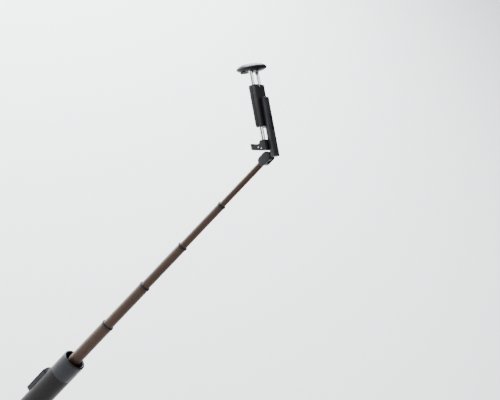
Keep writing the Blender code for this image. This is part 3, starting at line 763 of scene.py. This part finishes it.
def cross_screw(face, tip, at):
    """A cross-head screw whose head faces the arm, from its face to its tip."""
    edge = SCREW_HEAD_ROUNDING
    neck = face + SCREW_HEAD_HEIGHT
    screw = turned([
        *arc((SCREW_HEAD_RADIUS - edge, face + edge), edge, 270, 360, 5), (SCREW_HEAD_RADIUS, neck),
        (SCREW_RADIUS, neck), (SCREW_RADIUS, tip),
    ], "Y", at, SMALL)
    long, short = SCREW_CROSS
    for half_x, half_z in ((long, short), (short, long)):
        bar = rectangle((-half_x, -half_z), (half_x, half_z))
        combine(screw, prism(bar, face - PAST / 2, face + SCREW_CROSS_DEPTH, "Y", at))
    return screw


def make_housing():
    low, high = extents("clamp_housing_back", HEAD)
    back = housing_shell("clamp_housing_back", -1)
    combine(back, rod(STUB_RADIUS + STUB_PLAY, low.y - PAST, low.y + 2 * PAST, "Y", SWIVEL))
    for number in (1, 2):
        screw_low, screw_high = extents(f"housing_screw_{number}", HEAD)
        at = (0, 0, (screw_low.z + screw_high.z) / 2)
        combine(back, rod(SCREW_SEAT_RADIUS, low.y - PAST, low.y + PAST, "Y", at, parts=SMALL))
        stand_for(f"housing_screw_{number}", cross_screw(screw_low.y, screw_high.y, at), HEAD)
    stand_for("clamp_housing_back", back, HEAD)
    stand_for("clamp_housing_front", housing_shell("clamp_housing_front", 1), HEAD)


def ribs(start, end, base, top, depth=RIB_DEPTH):
    """A pad's section: a flat back and a face cut by evenly spaced grooves."""
    count = int((end - start) / RIB_PITCH)
    margin = (end - start - (count - 1) * RIB_PITCH) / 2
    wide = RIB_GROOVE / 2
    narrow = RIB_GROOVE / 4
    face = [(start, top)]
    for i in range(count):
        middle = start + margin + i * RIB_PITCH
        face += [(middle - wide, top), (middle - narrow, top - depth),
                 (middle + narrow, top - depth), (middle + wide, top)]
    return [(start, base)] + face + [(end, top), (end, base)]


def make_pads():
    low, high = extents("back_pad", HEAD)
    section = [(b, a) for a, b in ribs(low.z, high.z, low.y, high.y)]
    pad = prism(section, low.x - PAST, high.x + PAST, "X")
    outline = rectangle((low.x, low.z), (high.x, high.z), PAD_CORNER)
    combine(pad, prism(outline, low.y - PAST, high.y + PAST, "Y"), "INTERSECT")
    stand_for("back_pad", pad, HEAD)

    low, high = extents("lower_jaw_pad", HEAD)
    pad = prism(ribs(low.y, high.y, low.z, high.z), low.x, high.x, "X")
    stand_for("lower_jaw_pad", pad, HEAD)

    low, high = extents("upper_jaw_pad", HEAD)
    section = ribs(low.y, high.y, high.z, low.z, -RIB_DEPTH)
    pad = prism(section, low.x - PAST, high.x + PAST, "X")
    outline = ellipse((0, CAP_CENTRE_Y), CAP_PAD_HALF_WIDTH, CAP_PAD_HALF_LENGTH, ROUND)
    combine(pad, prism(outline, low.z - PAST, high.z + PAST), "INTERSECT")
    stand_for("upper_jaw_pad", pad, HEAD)


# ---------------------------------------------------------------- rods and jaws
def make_rods():
    for side in ("left", "right"):
        for level in ("lower", "upper"):
            node = f"{level}_rod_{side}"
            low, high = extents(node, HEAD)
            middle = ((low.x + high.x) / 2, (low.y + high.y) / 2, 0)
            radius = (high.x - low.x) / 2
            stand_for(node, rod(radius, low.z, high.z, at=middle, edge=ROD_EDGE), HEAD)


def make_lower_jaw():
    low, high = extents("lower_jaw", HEAD)
    half = high.x
    floor = LOWER_CONTACT - PAD_THICKNESS - PAD_SINK
    lip = high.y - JAW_LIP
    outline = fillet([
        (low.y, 5.4, 0.5), (12.6, 9.0, 1.8), (high.y, 11.2, 1.0), (high.y, 15.6, 0.8), (lip, 15.6, 0.6),
        (lip, floor, 0.0), (3.3, floor, 0.0), (2.3, 14.0, 0.8), (0.9, 16.4, 0.5), (-4.2, 16.4, 0.5),
        (low.y, 15.5, 0.4),
    ])
    jaw = prism(outline, -half, half, "X")
    front = high.y + JAW_PLAN_MARGIN
    plan = fillet([
        (-half, low.y - PAST, 0.0), (half, low.y - PAST, 0.0), (half, front, JAW_CORNER),
        (-half, front, JAW_CORNER),
    ], 16)
    combine(jaw, prism(plan, 0, JAW_CLEAR_HEIGHT), "INTERSECT")
    round_edges(jaw, JAW_ROUNDING, 3, 45)
    for x in (-ROD_X, ROD_X):
        combine(jaw, rod(LOWER_ROD_HOLE, LOWER_ROD_FOOT, JAW_CLEAR_HEIGHT, at=(x, ROD_Y, 0)))
    for side in ("left", "right"):
        for number in (1, 2):
            node = f"jaw_pin_{side}_{number}"
            pin_low, pin_high = extents(node, HEAD)
            at = (0, (pin_low.y + pin_high.y) / 2, (pin_low.z + pin_high.z) / 2)
            out = 1 if pin_high.x > 0 else -1
            seat = sorted((out * (half - JAW_PIN_SEAT_DEPTH), out * (half + PAST)))
            combine(jaw, rod(JAW_PIN_HOLE, *seat, "X", at, parts=SMALL))
            pin_radius = (pin_high.y - pin_low.y) / 2
            pin = rod(pin_radius, pin_low.x, pin_high.x, "X", at, JAW_PIN_EDGE, SMALL)
            stand_for(node, pin, HEAD)
    stand_for("lower_jaw", jaw, HEAD)


def make_upper_jaw():
    """A lens tilted up towards its tip, grooved just under its rim and cut square over the phone's edge."""
    low, high = extents("upper_jaw", HEAD)
    middle = (0, (low.y + high.y) / 2)
    half_x = high.x * CAP_FIT
    half_y = (high.y - low.y) / 2 * CAP_FIT
    slope = (CAP_RIM_TIP - CAP_RIM_BACK) / (high.y - low.y)
    rings = []
    for k in range(-CAP_RINGS, CAP_RINGS + 1):
        turn = CAP_RING_DEGREES * k
        reach = cos(radians(turn))
        if CAP_GROOVE[0] < turn < CAP_GROOVE[1]:
            reach -= CAP_GROOVE_SHARE
        lift = sin(radians(turn)) * (CAP_RISE if turn > 0 else CAP_DROP) * CAP_FIT
        outline = ellipse(middle, half_x * reach, half_y * reach, ROUND)
        rings.append([(x, y, CAP_RIM_BACK + (y - low.y) * slope + lift) for x, y in outline])
    jaw = skin(rings)
    ledge = rectangle((-LEDGE_HALF, PHONE_EDGE_Y), (LEDGE_HALF, LEDGE_FRONT))
    combine(jaw, prism(ledge, LEDGE_FOOT, JAW_SEAT))
    for x in (-ROD_X, ROD_X):
        seat = rod(UPPER_ROD_HOLE, low.z - 2 * PAST, JAW_SEAT + ROD_SEAT_DEPTH, at=(x, ROD_Y, 0))
        combine(jaw, seat)
    stand_for("upper_jaw", jaw, HEAD)


# ---------------------------------------------------------------- stage, in metres and degrees
CAMERA_AZIMUTH = -65.5
CAMERA_ELEVATION = 25.6
CAMERA_ROLL = 43.8
CAMERA_DISTANCE = 2.0
CAMERA_AIM = HINGE * MM + Vector((-0.0104, -0.0234, -0.0398))
CAMERA_LENS = 144.0
CAMERA_SENSOR = 36.0
WINDOW_AZIMUTH = 120.0
WINDOW_RISE = 0.24
WINDOW_DISTANCE = 1.9
WINDOW_SIZE = (2.6, 1.1)
WINDOW_POWER = 300.0
FILL_DISTANCE = 2.5
FILL_SIZE = (1.6, 1.6)
FILL_POWER = 3.0
OVERHEAD_DISTANCE = 3.0
OVERHEAD_SIZE = (5.0, 5.0)
OVERHEAD_POWER = 150.0
COOL = (0.93, 0.96, 1.0)
WARM = (1.0, 0.97, 0.94)
WHITE = (1.0, 1.0, 1.0)
SKY = (0.95, 0.96, 1.0, 1.0)
SKY_STRENGTH = 0.22
FLOOR_REACH = 12.0
FLOOR_Z = -MM


def looking(azimuth, elevation, roll=0.0):
    """Rotation whose -Z looks at the object from an azimuth and elevation in degrees."""
    a, e = radians(azimuth), radians(elevation)
    back = Vector((sin(a) * cos(e), -cos(a) * cos(e), sin(e)))
    right = Vector((cos(a), sin(a), 0.0))
    up = back.cross(right)
    turn = Matrix((right, up, back)).transposed()
    return turn @ Matrix.Rotation(radians(roll), 3, "Z")


def make_camera():
    data = bpy.data.cameras.new("camera")
    data.lens = CAMERA_LENS
    data.sensor_width = CAMERA_SENSOR
    camera = bpy.data.objects.new("camera", data)
    bpy.context.scene.collection.objects.link(camera)
    turn = looking(CAMERA_AZIMUTH, CAMERA_ELEVATION, CAMERA_ROLL)
    eye = CAMERA_AIM + turn.col[2] * CAMERA_DISTANCE
    camera.matrix_world = Matrix.Translation(eye) @ turn.to_4x4()
    bpy.context.scene.camera = camera
    return turn


def add_light(name, direction, distance, size, power, colour):
    data = bpy.data.lights.new(name, "AREA")
    data.shape = "RECTANGLE"
    data.size, data.size_y = size
    data.energy = power
    data.color = colour
    light = bpy.data.objects.new(name, data)
    bpy.context.scene.collection.objects.link(light)
    light.location = CAMERA_AIM + direction.normalized() * distance
    light.rotation_euler = direction.to_track_quat("Z", "Y").to_euler()


def make_stage():
    turn = make_camera()
    right, up, back = turn.col
    level_back = Vector((back.x, back.y, 0.0)).normalized()
    level_side = Vector((level_back.y, -level_back.x, 0.0))
    a = radians(WINDOW_AZIMUTH)
    window = level_back * cos(a) + level_side * sin(a) + Vector((0.0, 0.0, WINDOW_RISE))
    fill = back * 0.8 + up * 0.5 + right * 0.4
    overhead = Vector((0.0, 0.0, 1.0))
    add_light("window", window, WINDOW_DISTANCE, WINDOW_SIZE, WINDOW_POWER, COOL)
    add_light("fill", fill, FILL_DISTANCE, FILL_SIZE, FILL_POWER, WARM)
    add_light("overhead", overhead, OVERHEAD_DISTANCE, OVERHEAD_SIZE, OVERHEAD_POWER, WHITE)
    world = bpy.data.worlds.new("studio")
    world.use_nodes = True
    background = world.node_tree.nodes["Background"]
    background.inputs["Color"].default_value = SKY
    background.inputs["Strength"].default_value = SKY_STRENGTH
    bpy.context.scene.world = world

    mesh = bpy.data.meshes.new("floor")
    square = rectangle((-FLOOR_REACH, -FLOOR_REACH), (FLOOR_REACH, FLOOR_REACH))
    mesh.from_pydata([(x, y, FLOOR_Z) for x, y in square], [], [(0, 1, 2, 3)])
    floor = bpy.data.objects.new("floor", mesh)
    bpy.context.scene.collection.objects.link(floor)
    pale = finish("pale_floor", (0.9, 0.9, 0.9), 0.8, mottle=0.01, grain=40.0, depth=0.0002)
    mesh.materials.append(pale)


dress_nodes()
make_handle()
make_remote()
make_pole()
make_connector()
make_arm()
make_housing()
make_pads()
make_rods()
make_lower_jaw()
make_upper_jaw()
make_stage()
